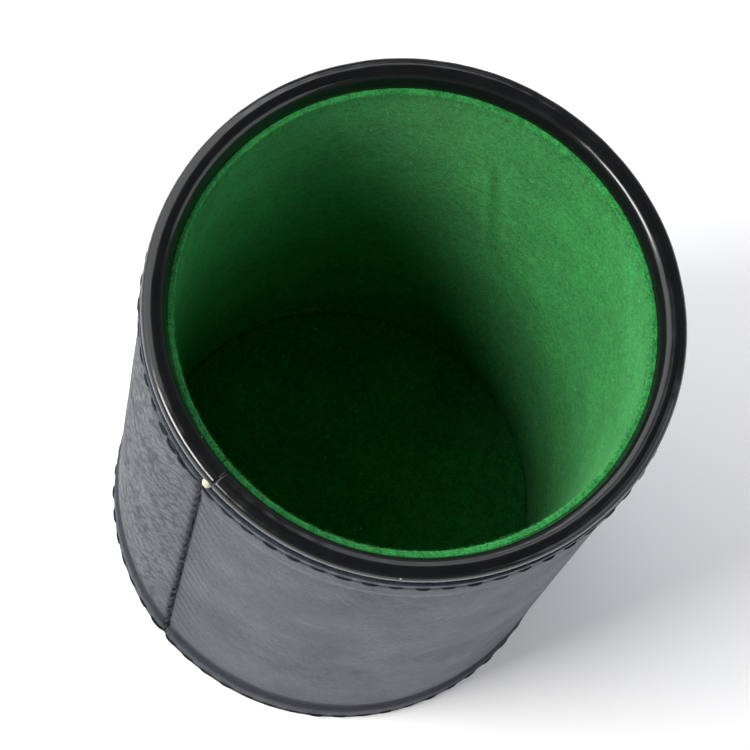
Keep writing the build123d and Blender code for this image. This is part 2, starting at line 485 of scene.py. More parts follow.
@dataclass(frozen=True)
class PileFelt:
    """Flocked wool felt, brushed: a dull green pile whose fibre tips catch the light."""

    name: str = "brushed_green_felt"
    tuft_hex: str = "#389a4d"
    root_hex: str = "#216a31"
    lint_hex: str = "#8fd89a"
    sheen_hex: str = "#a6e8ae"
    fibre_mm: float = 0.30
    fibre_share: float = 0.7
    clump_mm: float = 1.1
    clump_share: float = 0.3
    patch_mm: float = 9.0
    lint_mm: float = 3.2
    bump: float = 0.9
    bump_mm: float = 0.22
    roughness: float = 0.95
    specular: float = 0.1
    sheen: float = 0.35
    sheen_roughness: float = 0.45

    def material(self) -> bpy.types.Material:
        """Build the felt: fibre and clump noise in colour and in bump, with a soft sheen.

        A fibre is 0.02 mm thick, too fine to show, so tufts of 0.3 mm stand for it.
        """
        material, tree, shader, place = new_material(self.name)
        stretch = add_node(tree, "Mapping", None, {"Vector": place, "Scale": (1.0, 1.0, 0.7)})
        fibre = add_node(tree, "TexNoise", None, {
            "Vector": stretch.outputs[0],
            "Scale": per_mm(self.fibre_mm),
            "Detail": 3.0,
            "Roughness": 0.65,
        })
        clump = add_node(tree, "TexNoise", None, {
            "Vector": place, "Scale": per_mm(self.clump_mm), "Detail": 3.0, "Roughness": 0.6,
        })
        patch = add_node(tree, "TexNoise", None, {
            "Vector": place, "Scale": per_mm(self.patch_mm), "Detail": 2.0,
        })
        clumped = add_node(tree, "Math", {"operation": "MULTIPLY"}, {
            0: clump.outputs[0], 1: self.clump_share,
        })
        mixed = add_node(tree, "Math", {"operation": "MULTIPLY_ADD"}, {
            0: fibre.outputs[0], 1: self.fibre_share, 2: clumped.outputs[0],
        })
        spread = add_node(tree, "MapRange", {"interpolation_type": "SMOOTHSTEP"}, {
            "Value": mixed.outputs[0], "From Min": 0.38, "From Max": 0.62,
        })
        tone = add_node(tree, "Mix", {"data_type": "RGBA"}, {
            0: spread.outputs[0], 6: linear(self.root_hex), 7: linear(self.tuft_hex),
        })
        shade = add_node(tree, "MapRange", None, {
            "Value": patch.outputs[0],
            "From Min": 0.3,
            "From Max": 0.7,
            "To Min": 0.86,
            "To Max": 1.12,
        })
        patched = add_node(tree, "Mix", {"data_type": "RGBA", "blend_type": "MULTIPLY"}, {
            0: 1.0, 6: tone.outputs[2], 7: shade.outputs[0],
        })
        lint = add_node(tree, "TexVoronoi", {"feature": "F1"}, {
            "Vector": place, "Scale": per_mm(self.lint_mm),
        })
        speck = add_node(tree, "MapRange", None, {
            "Value": lint.outputs["Distance"],
            "From Min": 0.035,
            "From Max": 0.06,
            "To Min": 0.8,
            "To Max": 0.0,
        })
        linted = add_node(tree, "Mix", {"data_type": "RGBA"}, {
            0: speck.outputs[0], 6: patched.outputs[2], 7: linear(self.lint_hex),
        })
        bump = add_node(tree, "Bump", None, {
            "Height": mixed.outputs[0], "Strength": self.bump, "Distance": self.bump_mm * MM,
        })
        plug(tree, shader, {
            "Base Color": linted.outputs[2],
            "Normal": bump.outputs[0],
            "Roughness": self.roughness,
            "Specular IOR Level": self.specular,
            "Sheen Weight": self.sheen,
            "Sheen Roughness": self.sheen_roughness,
            "Sheen Tint": linear(self.sheen_hex),
        })
        return material


@dataclass(frozen=True)
class ExtrudedVinyl:
    """Black vinyl section, extruded and bent to a ring: glossy, with faint marks and dust."""

    name: str = "extruded_black_vinyl"
    body_hex: str = "#121314"
    dust_hex: str = "#c9bcb8"
    gloss_mm: float = 5.0
    dust_mm: float = 4.5
    fine_mm: float = 1.6
    bump: float = 0.25
    bump_mm: float = 0.02
    roughness: float = 0.16
    ior: float = 1.52
    specular: float = 0.42

    def material(self) -> bpy.types.Material:
        """Build the vinyl: a near-black body, uneven gloss, a fine bump and dust specks."""
        material, tree, shader, place = new_material(self.name)
        gloss = add_node(tree, "TexNoise", None, {
            "Vector": place, "Scale": per_mm(self.gloss_mm), "Detail": 4.0,
        })
        rough = add_node(tree, "MapRange", None, {
            "Value": gloss.outputs[0],
            "From Min": 0.3,
            "From Max": 0.75,
            "To Min": self.roughness * 0.7,
            "To Max": self.roughness * 1.7,
        })
        dust = add_node(tree, "TexVoronoi", {"feature": "F1"}, {
            "Vector": place, "Scale": per_mm(self.dust_mm),
        })
        speck = add_node(tree, "MapRange", None, {
            "Value": dust.outputs["Distance"],
            "From Min": 0.03,
            "From Max": 0.045,
            "To Min": 1.0,
            "To Max": 0.0,
        })
        fine = add_node(tree, "TexNoise", None, {
            "Vector": place, "Scale": per_mm(self.fine_mm), "Detail": 5.0,
        })
        coat(tree, shader, speck.outputs[0], (self.body_hex, self.dust_hex), {
            "Roughness": rough.outputs[0],
            "IOR": self.ior,
            "Specular IOR Level": self.specular,
        }, (fine.outputs[0], self.bump, self.bump_mm))
        return material


class LeatherGrain(Enum):
    """How a piece of the coated leather is worked."""

    WALL = "wall"
    PIPING = "piping"
    UNDERSIDE = "underside"


@dataclass(frozen=True)
class CoatedLeather:
    """Split leather with a black satin coating, embossed with a fine grain and creased."""

    name: str
    grain: LeatherGrain
    body_hex: str = "#1e232b"
    worn_hex: str = "#373d48"
    # Near-black of the painted shade in the wall's seam, puckers, stitch lines, creases and foot
    # hollow.
    painted_shade_hex: str = "#0d0e11"
    gloss_hex: str = "#c8d8f4"
    pebble_mm: float = 0.5
    crease_mm: float = 0.7
    cloud_mm: float = 11.0
    lean: float = 65.0
    stretch: float = 0.4
    crease_share: float = 2.4
    roughness: float = 0.4
    # Roughness added where the painted shade is.
    painted_shade_roughness: float = 0.35
    bump: float = 0.8
    bump_mm: float = 0.075
    ior: float = 1.5
    specular: float = 0.32

    def material(self) -> bpy.types.Material:
        """Build the leather: embossed pebbles, stretched creases, a satin, worn gloss, and painted
        shade in the wall's hollows.
        """
        material, tree, shader, place = new_material(self.name)
        # The wall's creases follow its own flat map; the other pieces have none.
        flat = add_node(tree, "TexCoord").outputs["UV"]
        pebble = add_node(tree, "TexVoronoi", {"feature": "DISTANCE_TO_EDGE"}, {
            "Vector": place, "Scale": per_mm(self.pebble_mm), "Randomness": 1.0,
        })
        valley = add_node(tree, "MapRange", {"interpolation_type": "SMOOTHSTEP"}, {
            "Value": pebble.outputs["Distance"], "From Min": 0.0, "From Max": 0.16,
        })
        lean = add_node(tree, "Mapping", None, {
            "Vector": flat if self.grain is LeatherGrain.WALL else place,
            "Rotation": (0.0, 0.0, math.radians(self.lean)),
        })
        turn = add_node(tree, "Mapping", None, {
            "Vector": lean.outputs[0], "Scale": (self.stretch, 1.0, 1.0),
        })
        crease = add_node(tree, "TexNoise", None, {
            "Vector": turn.outputs[0],
            "Scale": per_mm(self.crease_mm),
            "Detail": 4.0,
            "Roughness": 0.6,
            "Distortion": 0.3,
        })
        height = add_node(tree, "Math", {"operation": "MULTIPLY_ADD"}, {
            0: crease.outputs[0], 1: self.crease_share, 2: valley.outputs[0],
        })
        cloud = add_node(tree, "TexNoise", None, {
            "Vector": place, "Scale": per_mm(self.cloud_mm), "Detail": 4.0,
        })
        rough = add_node(tree, "MapRange", None, {
            "Value": cloud.outputs[0],
            "From Min": 0.3,
            "From Max": 0.7,
            "To Min": self.roughness * 0.88,
            "To Max": self.roughness * 1.15,
        })
        streak = add_node(tree, "MapRange", None, {
            "Value": crease.outputs[0], "From Min": 0.42, "From Max": 0.68, "To Max": 0.5,
        })
        rubbed = add_node(tree, "Mix", {"data_type": "RGBA"}, {
            0: streak.outputs[0], 6: linear(self.body_hex), 7: linear(self.worn_hex),
        })
        # Painted shade: the wall's mask darkens the colour in the seam valley, between the
        # puckers, along the needle lines, in the creases and in the hollow above the foot, and
        # makes the coating duller there.
        painted_shade = add_node(tree, "Attribute", {"attribute_name": "painted_shade"})
        tone = add_node(tree, "Mix", {"data_type": "RGBA"}, {
            0: painted_shade.outputs["Fac"], 6: rubbed.outputs[2], 7: linear(self.painted_shade_hex),
        })
        dull = add_node(tree, "Math", {"operation": "MULTIPLY_ADD"}, {
            0: painted_shade.outputs["Fac"], 1: self.painted_shade_roughness, 2: rough.outputs[0],
        })
        bump = add_node(tree, "Bump", None, {
            "Height": height.outputs[0], "Strength": self.bump, "Distance": self.bump_mm * MM,
        })
        plug(tree, shader, {
            "Base Color": tone.outputs[2],
            "Roughness": dull.outputs[0],
            "Normal": bump.outputs[0],
            "IOR": self.ior,
            "Specular IOR Level": self.specular,
            "Specular Tint": linear(self.gloss_hex),
        })
        return material


@dataclass(frozen=True)
class WaxedThread:
    """Bonded polyester thread, two plies twisted and waxed: black with a dull glint."""

    name: str = "waxed_black_thread"
    body_hex: str = "#0b0d10"
    fuzz_hex: str = "#23282d"
    fibre_mm: float = 0.12
    bump: float = 0.5
    bump_mm: float = 0.03
    roughness: float = 0.7
    specular: float = 0.2

    def material(self) -> bpy.types.Material:
        """Build the thread: dark fibres with a fine broken bump."""
        material, tree, shader, place = new_material(self.name)
        fibre = add_node(tree, "TexNoise", None, {
            "Vector": place, "Scale": per_mm(self.fibre_mm), "Detail": 2.0,
        })
        coat(tree, shader, fibre.outputs[0], (self.body_hex, self.fuzz_hex), {
            "Roughness": self.roughness, "Specular IOR Level": self.specular,
        }, (fibre.outputs[0], self.bump, self.bump_mm))
        return material


@dataclass(frozen=True)
class SetGlue:
    """Contact adhesive that squeezed out and set: cream, glossy and slightly cloudy."""

    name: str = "set_contact_adhesive"
    body_hex: str = "#e4dcc3"
    stain_hex: str = "#a99d80"
    stain_mm: float = 0.6
    roughness: float = 0.3
    cloudiness: float = 0.2
    depths_mm: tuple[float, ...] = (0.6, 0.5, 0.3)

    def material(self) -> bpy.types.Material:
        """Build the glue: a cream body with darker stains and a soft gloss."""
        material, tree, shader, place = new_material(self.name)
        stain = add_node(tree, "TexNoise", None, {
            "Vector": place, "Scale": per_mm(self.stain_mm), "Detail": 3.0,
        })
        coat(tree, shader, stain.outputs[0], (self.body_hex, self.stain_hex), {
            "Roughness": self.roughness,
            "Subsurface Weight": self.cloudiness,
            "Subsurface Radius": [depth * MM for depth in self.depths_mm],
        })
        return material


@dataclass(frozen=True)
class StudioPaper:
    """Matte white background paper."""

    name: str = "white_background_paper"
    body_hex: str = "#f6f6f7"
    cloud_hex: str = "#fbfbfb"
    glow_hex: str = "#ffffff"
    cloud_scale: float = 6.0
    glow: float = 0.14
    roughness: float = 0.9

    def material(self) -> bpy.types.Material:
        """Build the paper: white with a faint unevenness and a slight glow of its own."""
        material, tree, shader, place = new_material(self.name)
        cloud = add_node(tree, "TexNoise", None, {"Vector": place, "Scale": self.cloud_scale})
        coat(tree, shader, cloud.outputs[0], (self.body_hex, self.cloud_hex), {
            "Roughness": self.roughness,
            "Emission Color": linear(self.glow_hex),
            "Emission Strength": self.glow,
        })
        return material


# ---------------- rigid core


@dataclass
class RigidCore:
    """The stiff tube, the board in its foot and the lining's card, which the skins hide."""

    board: PressedBoard = PressedBoard("pressed_fibreboard", "#a98f6d", "#6f5a41")
    card: PressedBoard = PressedBoard("grey_card", "#bdb5a4", "#8e8778")

    def dress(self) -> None:
        """Give the hidden frame nodes their board and card."""
        board = self.board.material()
        card = self.card.material()
        for node in ("tube", "base_board"):
            dress_node(node, board)
        for node in ("lining_card", "floor_card"):
            dress_node(node, card)


# ---------------- rim trim


@dataclass
class RimTrim:
    """Glossy channel ring: steep inner face, soft shoulder, domed crown and round flank."""

    steps: int = 720
    joint_gap: float = 0.05 * MM
    joint_offset: float = 2.1 * MM
    shoulder_run: float = 1.0 * MM
    shoulder_drop: float = 0.2 * MM
    shoulder_bend: float = 0.95 * MM
    crown_drop: float = 0.1 * MM
    crown_tilt: float = 1.4
    crown_rise: float = 0.11 * MM
    flank_bend: float = 0.95 * MM
    flank_drop: float = 0.3 * MM
    widest_drop: float = 1.3 * MM
    hem_inset: float = 0.35 * MM
    waviness: float = 0.09 * MM
    slow_waves: float = 4.2
    quick_waves: float = 15.0
    finish: ExtrudedVinyl = ExtrudedVinyl()

    def outline(self) -> list[Vector]:
        """Trace the channel's section.

        Returns:
            Points in the XZ plane, in order.
        """
        low, high = box_of("rim_trim")
        foot = ring_at("rim_trim", low.z)
        rim = high.x
        top = high.z
        tube = end_rings("tube")[1]
        hem = self.outer_foot_height(low.z, tube.height)
        inner_foot = at(foot.inner, low.z)
        shoulder = at(foot.inner + self.shoulder_run, top - self.shoulder_drop)
        rise = (shoulder - inner_foot).normalized()
        face_end = shoulder - rise * self.shoulder_bend
        crown_start = at(shoulder.x + self.shoulder_bend, top - self.crown_drop)
        crown_end = at(rim - self.flank_bend, top - self.crown_drop * self.crown_tilt)
        crown = at((crown_start.x + crown_end.x) / 2.0, top + self.crown_rise)
        flank = at(rim, top - self.flank_drop)
        widest = at(rim, top - self.widest_drop)
        tuck = at(rim, (widest.z + hem) / 2.0)
        outer_foot = at(rim - self.hem_inset, hem)
        return [
            *straight(inner_foot, face_end, 5),
            *bend(face_end, shoulder, crown_start, 9),
            *bend(crown_start, crown, crown_end, 8),
            *bend(crown_end, flank, widest, 10),
            *bend(widest, tuck, outer_foot, 5),
            outer_foot,
            at(tube.outer, hem),
            at(tube.outer, tube.height),
            at(tube.inner, tube.height),
            at(foot.outer, low.z),
        ]

    def outer_foot_height(self, low: float, tube_top: float) -> float:
        """Find the foot of the channel's outer leg.

        Args:
            low: Height of the inner leg's foot.
            tube_top: Height of the tube's upper edge.

        Returns:
            The lowest level of the node between the two.
        """
        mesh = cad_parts["rim_trim"].data
        levels = {round(v.co.z, 6) for v in mesh.vertices if low + 0.2 * MM < v.co.z}
        return min(level for level in levels if level < tube_top)

    def build(self) -> bpy.types.Object:
        """Spin the section, part it at its joint and let the bent ring waver a little."""
        (_, _, low), (rim, _, top) = box_of("rim_trim")
        bm = lathe(self.outline(), self.steps, self.joint_gap / rim)
        turn = Matrix.Rotation(self.joint_offset / rim, 3, "Z")
        bmesh.ops.rotate(bm, cent=(0.0, 0.0, 0.0), matrix=turn, verts=bm.verts)

        def waver(point: Vector, angle: float) -> Vector:
            """Shift the shoulder and the crown as a hand-bent strip does."""
            rise = clamp((point.z - low) / (top - low))
            spot = Vector((math.cos(angle), math.sin(angle), 0.0))
            slow = noise.noise(spot * self.slow_waves + UP * 3.7)
            quick = noise.noise(spot * self.quick_waves + UP * 8.1)
            shift = self.waviness * rise * (slow + 0.35 * quick)
            drop = self.waviness * 0.5 * rise * (quick - 1.0)
            return point + outwards(point) * (shift - self.waviness * rise) + UP * drop

        reshape(bm, waver)
        return make_piece(
            "rim_trim_ring", bm, self.finish.material(), ["rim_trim"]
        )


# ---------------- edge piping


@dataclass
class EdgePiping:
    """Strip of thin leather folded to a bead, its tail hidden under the wall."""

    steps: int = 540
    glue_line: float = 0.05 * MM
    joint_gap: float = 0.2 * MM
    pucker_depth: float = 0.05 * MM
    finish: CoatedLeather = CoatedLeather(
        "coated_leather_piping", LeatherGrain.PIPING, body_hex="#2c3036", roughness=0.34
    )

    def build(self, taper: Taper) -> bpy.types.Object:
        """Spin the bead and its tail, and pucker the fold.

        Args:
            taper: The tube that the strip is wrapped round.

        Returns:
            The piping.
        """
        low, high = box_of("edge_piping")
        hem_top = box_of("leather_wrap")[1].z
        tail = ring_at("edge_piping", low.z)
        tail_offset = tail.outer - taper.radius(low.z)
        bead_low = hem_top + self.glue_line
        bead = ring_at("edge_piping", bead_low, 0.1 * MM)
        bead_offset = bead.outer - taper.radius(bead_low)
        round_radius = min((high.z - bead_low) / 2.0, bead_offset * 0.8)
        middle = (high.z + bead_low) / 2.0
        centre = taper.outside(bead_offset - round_radius, middle)
        outline = [
            taper.outside(tail_offset, low.z),
            taper.outside(tail_offset, bead_low),
            *arc(centre, round_radius, -88.0, 88.0, 14),
            taper.outside(self.glue_line, high.z),
            taper.outside(self.glue_line, low.z),
        ]
        bm = lathe(outline, self.steps, self.joint_gap / high.x)

        def pucker(point: Vector, angle: float) -> Vector:
            """Pull the bead in a little between the stitches."""
            if point.z < bead_low - 0.01 * MM or point.xy.length < centre.x:
                return point
            run = angle * high.x
            wave = math.cos(math.tau * run / STITCH_PITCH)
            crease = ripple(run / (1.4 * MM), point.z / (0.8 * MM), 2.0)
            depth = self.pucker_depth * (wave * 0.4 + crease * 0.8 - 0.6)
            return point + outwards(point) * depth

        reshape(bm, pucker)
        return make_piece(
            "edge_piping_strip", bm, self.finish.material(), ["edge_piping"]
        )


# ---------------- leather wall


@dataclass
class LeatherWall:
    """The wrap: foot bulge, waist, plain cone and hem, laced together at the side seam."""

    steps: int = 440
    rows: int = 178
    thickness: float = 0.8 * MM
    glue_line: float = 0.05 * MM
    seam_gap: float = 0.3 * MM
    edge_round: float = 0.35 * MM
    waist_depth: float = 0.3 * MM
    waist_rise: float = 1.6 * MM
    waist_end_rise: float = 5.2 * MM
    foot_blend: float = 1.3 * MM
    hem_blend: float = 2.6 * MM
    blend_overlap: float = 0.4 * MM
    seam_valley: float = 0.42 * MM
    seam_width: float = 0.62 * MM
    pucker_depth: float = 0.10 * MM
    crease_depth: float = 0.09 * MM
    crease_length: float = 5.0 * MM
    crease_spacing: float = 1.15 * MM
    crease_edge: float = 0.22
    steep_lean: float = 62.0
    faint_lean: float = -68.0
    unevenness: float = 0.05 * MM
    # Strength of the painted shade in the hollow above the foot.
    hollow_painted_shade: float = 0.35
    needle_depth: float = 0.2 * MM
    needle_width: float = 0.42 * MM
    crowding: float = 0.6
    finish: CoatedLeather = CoatedLeather("coated_black_leather", LeatherGrain.WALL)

    def bulges(self, taper: Taper) -> tuple[float, float, float, float]:
        """Measure what the wall covers at its foot and at its hem.

        Args:
            taper: The tube.

        Returns:
            Top and thickness of the turned-up lip, then foot and thickness of the piping.
        """
        lip = box_of("base_leather")[1].z
        tail = box_of("edge_piping")[0].z
        lip_bulge = ring_at("base_leather", lip).outer - taper.radius(lip)
        tail_bulge = ring_at("edge_piping", tail).outer - taper.radius(tail)
        return lip, lip_bulge, tail, tail_bulge

    def face_offset(self, height: float, taper: Taper) -> float:
        """Distance from the tube to the leather's face, before creases.

        Args:
            height: Height above the floor.
            taper: The tube.

        Returns:
            The offset in metres.
        """
        low, high = (corner.z for corner in box_of("leather_wrap"))
        lip, lip_bulge, tail, tail_bulge = self.bulges(taper)
        ease = self.blend_overlap
        offset = self.glue_line + self.thickness
        offset += lip_bulge * (1.0 - smoothstep(lip - ease, lip + self.foot_blend, height))
        offset += tail_bulge * smoothstep(tail - self.hem_blend, tail + ease, height)
        waist = smoothstep(lip - ease, lip + self.waist_rise, height)
        waist *= 1.0 - smoothstep(lip + self.waist_rise, lip + self.waist_end_rise, height)
        offset -= self.waist_depth * waist
        for edge in (low, high):
            near = self.edge_round - abs(height - edge)
            if near > 0.0:
                rest = math.sqrt(max(0.0, self.edge_round**2 - near**2))
                offset -= self.edge_round - rest
        return offset

    def outline(self, taper: Taper) -> list[Vector]:
        """Trace the wall's section: a dense outer face and a plain back.

        Args:
            taper: The tube.

        Returns:
            Points in the XZ plane, in order.
        """
        low, high = (corner.z for corner in box_of("leather_wrap"))
        corner = self.edge_round
        ease = [corner * (1.0 - math.cos(math.radians(angle))) for angle in (0, 22, 45, 68)]
        middle_low, middle_high = low + corner, high - corner
        count = self.rows
        heights = [low + step for step in ease]
        heights += [
            middle_low + (middle_high - middle_low) * index / count for index in range(count + 1)
        ]
        heights += [high - step for step in reversed(ease)]
        face = [taper.outside(self.face_offset(height, taper), height) for height in heights]
        lip, lip_bulge, tail, tail_bulge = self.bulges(taper)
        glue = self.glue_line
        return [
            *face,
            taper.outside(tail_bulge + glue, high),
            taper.outside(tail_bulge + glue, tail - glue),
            taper.outside(glue, tail - self.thickness),
            taper.outside(glue, lip + self.thickness),
            taper.outside(lip_bulge + glue, lip + glue),
            taper.outside(lip_bulge + glue, low),
        ]

    def crease(self, run: float, height: float, lean: float, seed: float) -> float:
        """Depth share of the short creases that lean one way.

        Args:
            run: Distance round the wall.
            height: Height above the floor.
            lean: Angle of the creases above the horizontal, in degrees.
            seed: Picks the pattern.

        Returns:
            From 0 on the plain face to 1 in a crease.
        """
        turn = math.radians(lean)
        along = run * math.cos(turn) + height * math.sin(turn)
        across = height * math.cos(turn) - run * math.sin(turn)
        wave = ripple(along / self.crease_length, across / self.crease_spacing, seed)
        return clamp(1.0 - abs(wave) / self.crease_edge)

    def relief(
        self, run: float, height: float, side: float, lines: Sequence[float]
    ) -> tuple[float, float]:
        """Work the surface: how far it stands proud of the plain face, and how much painted shade
        it gets.

        Args:
            run: Distance round the wall from the seam, always positive.
            height: Height above the floor.
            side: Signed distance from the seam, negative on the side of -X.
            lines: Heights of the two lines of running stitches.

        Returns:
            Metres outwards, and the share of painted shade, darkest in the hollows.
        """
        # The two edges sink where the lacing pulls them together, and pucker beside it; painted
        # shade darkens the seam valley and the troughs between the puckers.
        relief = -self.seam_valley * bell(side, self.seam_width)
        painted_shade = 0.95 * bell(side, self.seam_width * 1.15)
        reach = math.exp(-abs(side) / (3.2 * MM if side > 0.0 else 1.6 * MM))
        slant = height + (1.1 if side > 0.0 else -0.5) * abs(side)
        drift = 0.35 * ripple(height / (9.0 * MM), side / (4.0 * MM), 7.0)
        tug = math.cos(math.tau * (slant / STITCH_PITCH + drift))
        relief += self.pucker_depth * reach * (tug - 0.2)
        painted_shade = max(painted_shade, 0.45 * reach * clamp(-tug))
        # Running stitches press a shallow line with a dip at each needle hole; painted shade
        # darkens the line.
        for line in lines:
            dip = 0.7 + 0.3 * math.cos(math.tau * (run / STITCH_PITCH))
            near = bell(height - line, self.needle_width)
            relief -= self.needle_depth * dip * near
            painted_shade = max(painted_shade, 0.8 * dip * near)
        # Creases lean one way left of the seam and the other way right of it; painted shade
        # darkens them.
        left = clamp(0.5 - side / (8.0 * MM))
        patch = 0.5 + 0.5 * ripple(side / (17.0 * MM), height / (23.0 * MM), 1.0)
        steep = left * (0.45 + 0.8 * patch) * self.crease(side, height, self.steep_lean, 3.0)
        faint = (1.0 - left) * 0.5 * patch * self.crease(side, height, self.faint_lean, 5.0)
        relief -= self.crease_depth * (steep + faint)
        painted_shade = max(painted_shade, 0.55 * steep + 0.35 * faint)
        # The hollow above the foot faces downwards and gets painted shade, darker than the rubbed
        # wall above it.
        low = box_of("leather_wrap")[0].z
        hollow = smoothstep(low + 1.6 * MM, low + 3.6 * MM, height)
        hollow *= 1.0 - smoothstep(low + 5.2 * MM, low + 9.5 * MM, height)
        painted_shade = max(painted_shade, self.hollow_painted_shade * hollow)
        # The skin is never quite even over the tube.
        relief += self.unevenness * ripple(side / (14.0 * MM), height / (20.0 * MM), 4.0)
        return relief, clamp(painted_shade)

    def build(self, taper: Taper) -> bpy.types.Object:
        """Spin the section, gather the mesh towards the seam, and work its surface.

        Args:
            taper: The tube that the leather is wrapped round.

        Returns:
            The wall.
        """
        low, high = box_of("leather_wrap")
        radius = high.x
        bm = lathe(self.outline(taper), self.steps, self.seam_gap / radius)
        lines = [
            sum(corner.z for corner in box_of(node)) / 2.0
            for node in ("foot_stitches", "top_stitches")
        ]
        wall = bm.loops.layers.uv.new("Wall")
        # Vertex layer of painted shade, read by the leather's finish.
        painted_shade_layer = bm.verts.layers.float.new("painted_shade")
        skin = self.glue_line + self.thickness * 0.4
        tones = []

        def work(point: Vector, angle: float) -> Vector:
            """Gather a point towards the seam and press the relief into it."""
            share = angle / math.tau
            share -= self.crowding * math.sin(math.tau * share) / math.tau
            angle = share * math.tau
            distance = point.xy.length
            offset = distance - taper.radius(point.z)
            tone = 0.0
            if offset > skin and low.z < point.z:
                run = angle * distance
                side = run if angle < math.pi else run - math.tau * distance
                weight = smoothstep(skin, self.glue_line + self.thickness * 0.75, offset)
                relief, painted_shade = self.relief(run, point.z, side, lines)
                distance += weight * relief
                # Share of painted shade at this point of the face.
                tone = weight * painted_shade
            tones.append(tone)
            return polar(distance, angle + SEAM_AZIMUTH, point.z)

        reshape(bm, work)
        for vert, tone in zip(bm.verts, tones):
            vert[painted_shade_layer] = tone
        for face in bm.faces:
            middle = round_from_seam(face.calc_center_median())
            for loop in face.loops:
                angle = round_from_seam(loop.vert.co)
                if abs(angle - middle) > math.pi:
                    angle -= math.copysign(math.tau, angle - middle)
                loop[wall].uv = (min(angle, math.tau - angle) * radius, loop.vert.co.z)
        piece = make_piece(
            "leather_wall", bm, self.finish.material(), ["leather_wrap"]
        )
        return piece


# ---------------- underside


@dataclass
class Underside:
    """Leather disc whose edge is turned up round the tube, under the wall."""

    steps: int = 360
    spokes: int = 26
    edge_round: float = 0.45 * MM
    glue_line: float = 0.05 * MM
    lift: float = 0.08 * MM
    finish: CoatedLeather = CoatedLeather(
        "coated_leather_underside", LeatherGrain.UNDERSIDE, body_hex="#1f2126", roughness=0.48
    )

    def build(self, taper: Taper) -> bpy.types.Object:
        """Spin the disc and its lip, and press a soft unevenness into the disc.

        Args:
            taper: The tube that the lip is turned up round.

        Returns:
            The underside.
        """
        low, high = box_of("base_leather")
        lip = ring_at("base_leather", high.z)
        lip_outer = lip.outer - taper.radius(high.z)
        lip_inner = lip.inner - taper.radius(high.z)
        disc_top = box_of("tube")[0].z - self.glue_line
        edge = taper.outside(lip_outer, self.edge_round)
        centre = at(edge.x - self.edge_round, self.edge_round)
        outline = [
            *[at(centre.x * index / self.spokes, low.z) for index in range(self.spokes)],
            *arc(centre, self.edge_round, -90.0, 0.0, 6),
            taper.outside(lip_outer, high.z),
            taper.outside(lip_inner, high.z),
            taper.outside(lip_inner, disc_top),
            at(0.0, disc_top),
        ]
        bm = lathe(outline, self.steps)
        close_poles(bm)

        def dish(point: Vector, _angle: float) -> Vector:
            """Lift the middle of the disc a little, as glued leather lies."""
            if point.z > 0.05 * MM or point.xy.length > centre.x - 1.0 * MM:
                return point
            slow = noise.noise(Vector((point.x, point.y, 0.0)) / (11.0 * MM))
            inner = clamp((centre.x - point.xy.length) / (6.0 * MM))
            return point + UP * inner * self.lift * (1.0 + slow)

        reshape(bm, dish)
        piece = make_piece(
            "leather_underside", bm, self.finish.material(), ["base_leather"]
        )
        return piece


# ---------------- stitching


